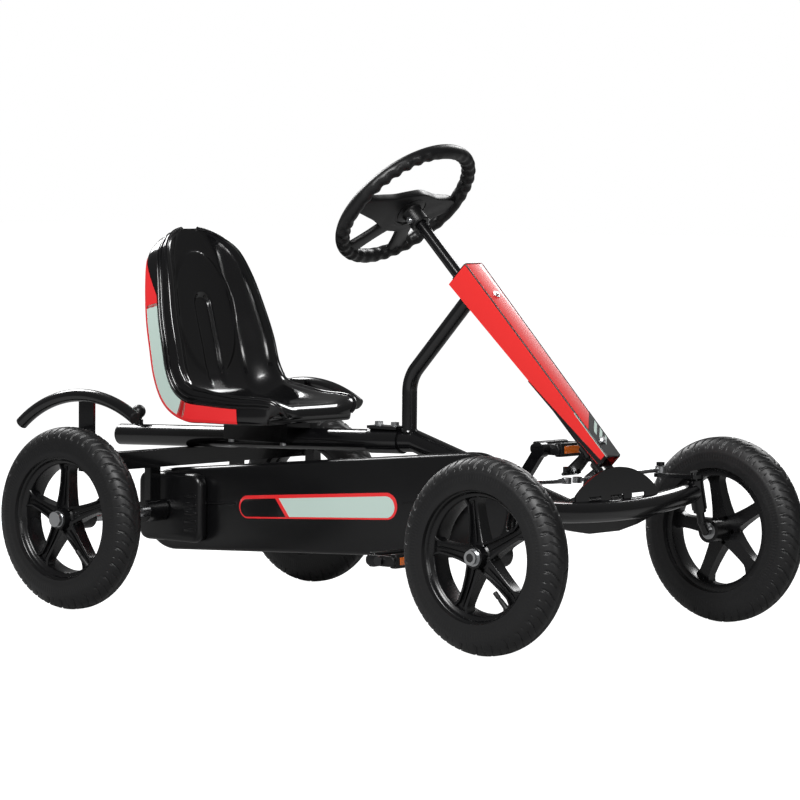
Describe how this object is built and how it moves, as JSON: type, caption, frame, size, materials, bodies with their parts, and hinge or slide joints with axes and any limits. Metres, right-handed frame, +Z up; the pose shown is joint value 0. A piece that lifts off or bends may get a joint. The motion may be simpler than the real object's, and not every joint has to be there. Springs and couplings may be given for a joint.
{
  "type": "pedal go kart",
  "caption": "Four-wheeled pedal go kart: tube frame, swinging front axle, linked steering, cased chain drive, sliding bucket seat.",
  "frame": {"origin": "middle of the footprint on the ground", "axes": "+X forward, +Y to the driver's left, +Z up"},
  "size_m": [1.2682, 0.7242, 0.8075],
  "materials": {
    "frame_black": "gloss powder coat",
    "emblem_black": "gloss",
    "case_plastic": "satin moulded",
    "black_plastic": "satin moulded",
    "cover_red": "gloss",
    "seat_gloss": "high gloss moulded",
    "zinc": "zinc plated",
    "chain_steel": "oiled steel",
    "rim_plastic": "satin moulded",
    "tyre_rubber": "moulded rubber",
    "decal_green": "printed film",
    "decal_red": "printed film",
    "decal_black": "printed film",
    "reflector_orange": "clear prismatic",
    "valve_rubber": "satin"
  },
  "bodies": {
    "frame": {"backbone_tube": "frame_black", "front_tube": "frame_black", "joint_sleeve": "frame_black", "column_post": "frame_black", "column_bearings": "frame_black", "column_cover": "cover_red", "head_bracket": "frame_black", "pivot_bolt": "zinc", "rear_beam": "frame_black", "bearing_blocks": "frame_black", "hoop_right": "frame_black", "hoop_left": "frame_black", "end_plugs": "black_plastic", "chain_case_outer": "case_plastic", "chain_case_inner": "case_plastic", "chain_case_cap": "case_plastic", "bottom_bracket": "frame_black", "chain": "chain_steel", "frame_bolts": "zinc", "cover_screws": "zinc"},
    "front_axle": {"front_bow": "frame_black", "axle_plate": "frame_black", "emblem_plate": "emblem_black"},
    "seat": {"seat_shell": "seat_gloss", "seat_bracket": "frame_black", "seat_bolts": "zinc"},
    "plunger": {"plunger_knob": "black_plastic"},
    "steering": {"steering_wheel": "black_plastic", "steering_shaft": "frame_black", "wheel_clamp_bolt": "zinc", "drop_arm_plate": "frame_black"},
    "knuckle_right": {"stub_axle_right": "frame_black", "track_arm_right": "frame_black", "stub_nut_right": "zinc"},
    "knuckle_left": {"stub_axle_left": "frame_black", "track_arm_left": "frame_black", "stub_nut_left": "zinc"},
    "rod_right": {"tie_rod_right": "zinc"},
    "rod_left": {"tie_rod_left": "zinc"},
    "wheel_front_right": {"rim_front_right": "rim_plastic", "tyre_front_right": "tyre_rubber", "bearings_front_right": "zinc"},
    "wheel_front_left": {"rim_front_left": "rim_plastic", "tyre_front_left": "tyre_rubber", "bearings_front_left": "zinc"},
    "wheel_rear_right": {"rim_rear_right": "rim_plastic", "tyre_rear_right": "tyre_rubber", "bearings_rear_right": "zinc"},
    "axle": {"rear_axle": "zinc", "axle_nuts": "zinc", "rear_sprocket": "chain_steel", "rim_rear_left": "rim_plastic", "tyre_rear_left": "tyre_rubber", "bearings_rear_left": "zinc"},
    "crank": {"crank_spindle": "chain_steel", "chainring": "chain_steel", "crank_right": "frame_black", "crank_left": "frame_black"},
    "pedal_r": {"pedal_right": "black_plastic"},
    "pedal_l": {"pedal_left": "black_plastic"}
  },
  "joints": [
    {"name": "steer", "type": "hinge", "parent": "frame", "child": "steering", "pos_m": [0.14511, 0, 0.5955], "axis": [-0.7071, 0, 0.7071], "range_deg": [-28, 28]},
    {"name": "axle_swing", "type": "hinge", "parent": "frame", "child": "front_axle", "pos_m": [0.45161, 0, 0.243], "axis": [1, 0, 0], "range_deg": [-4, 4]},
    {"name": "knuckle_turn_right", "type": "hinge", "parent": "front_axle", "child": "knuckle_right", "pos_m": [0.47561, -0.245, 0.223], "axis": [0, 0.2588, 0.9659], "range_deg": [-25, 25]},
    {"name": "rod_turn_right", "type": "hinge", "parent": "knuckle_right", "child": "rod_right", "pos_m": [0.41561, -0.221, 0.253], "axis": [0, 0, 1], "range_deg": [-24, 24]},
    {"name": "spin_front_right", "type": "hinge", "parent": "knuckle_right", "child": "wheel_front_right", "pos_m": [0.47561, -0.323, 0.1585], "axis": [0, 1, 0], "continuous": true},
    {"name": "knuckle_turn_left", "type": "hinge", "parent": "front_axle", "child": "knuckle_left", "pos_m": [0.47561, 0.245, 0.223], "axis": [0, -0.2588, 0.9659], "range_deg": [-25, 25]},
    {"name": "rod_turn_left", "type": "hinge", "parent": "knuckle_left", "child": "rod_left", "pos_m": [0.41561, 0.221, 0.253], "axis": [0, 0, 1], "range_deg": [-24, 24]},
    {"name": "spin_front_left", "type": "hinge", "parent": "knuckle_left", "child": "wheel_front_left", "pos_m": [0.47561, 0.323, 0.1585], "axis": [0, 1, 0], "continuous": true},
    {"name": "spin_rear_right", "type": "hinge", "parent": "axle", "child": "wheel_rear_right", "pos_m": [-0.45039, -0.315, 0.1585], "axis": [0, 1, 0], "continuous": true},
    {"name": "axle_spin", "type": "hinge", "parent": "frame", "child": "axle", "pos_m": [-0.45039, 0, 0.1585], "axis": [0, 1, 0], "continuous": true},
    {"name": "crank_turn", "type": "hinge", "parent": "frame", "child": "crank", "pos_m": [0.20461, 0, 0.206], "axis": [0, 1, 0], "continuous": true},
    {"name": "pedal_spin_right", "type": "hinge", "parent": "crank", "child": "pedal_r", "pos_m": [0.13996, -0.12, 0.11701], "axis": [0, 1, 0], "continuous": true},
    {"name": "pedal_spin_left", "type": "hinge", "parent": "crank", "child": "pedal_l", "pos_m": [0.26927, 0.12, 0.29499], "axis": [0, 1, 0], "continuous": true},
    {"name": "seat_slide", "type": "slide", "parent": "frame", "child": "seat", "axis": [0.9995, 0, 0.0332], "range_m": [-0.05, 0.09]},
    {"name": "plunger_pull", "type": "slide", "parent": "frame", "child": "plunger", "axis": [0, 0, 1], "range_m": [0, 0.008], "stiffness_N_per_m": 600, "springref_m": -0.004}
  ],
  "couplings": [
    {"joint": "knuckle_turn_right", "follows": "steer", "ratio": 0.85},
    {"joint": "knuckle_turn_left", "follows": "steer", "ratio": 0.85},
    {"joint": "rod_turn_right", "follows": "steer", "ratio": -0.85},
    {"joint": "rod_turn_left", "follows": "steer", "ratio": -0.85},
    {"joint": "crank_turn", "follows": "axle_spin", "ratio": 0.58823}
  ]
}
